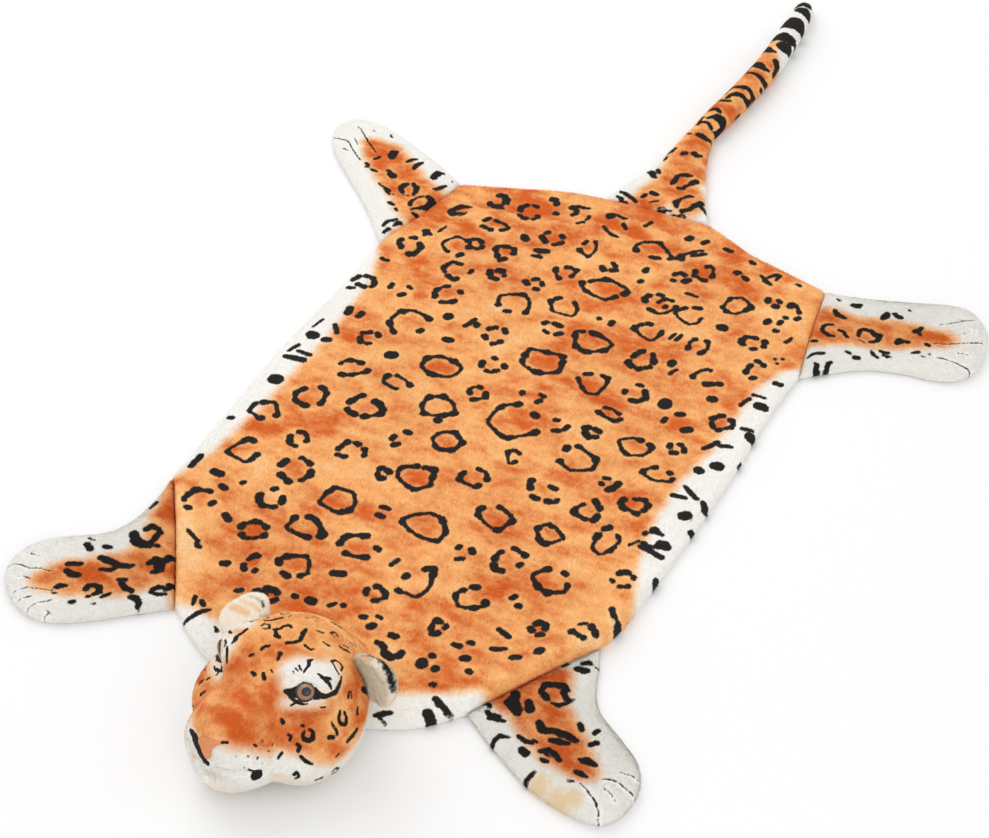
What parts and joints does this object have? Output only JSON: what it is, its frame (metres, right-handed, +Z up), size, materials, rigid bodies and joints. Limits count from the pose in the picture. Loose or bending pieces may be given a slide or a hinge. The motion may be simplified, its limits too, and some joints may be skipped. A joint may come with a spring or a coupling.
{
  "type": "animal shaped kids rug",
  "caption": "Leopard shaped plush rug lying flat: flat cloth body with splayed flat legs, a thin stuffed tail and a stuffed head with ears, eyes and nose.",
  "frame": {"origin": "middle of the underside of the rug's bounding box, on the floor", "axes": "+Z up from the floor, +Y from the head to the tail, +X to the left side of the animal"},
  "size_m": [0.8053, 1.3946, 0.1054],
  "materials": {
    "plush_print": "short plush, orange with black rosettes and white edges",
    "plush_cream": "short plush, cream",
    "eye_gloss": "glossy",
    "nose_cloth": "short smooth plush, salmon"
  },
  "bodies": {
    "root": {"body": "plush_print", "leg_front_left": "plush_print", "leg_front_right": "plush_print", "leg_rear_left": "plush_print", "leg_rear_right": "plush_print", "tail_base": "plush_print", "tail": "plush_print", "head": "plush_print", "ear_left": "plush_cream", "ear_right": "plush_cream", "eye_left": "eye_gloss", "eye_right": "eye_gloss", "nose": "nose_cloth"}
  },
  "joints": []
}
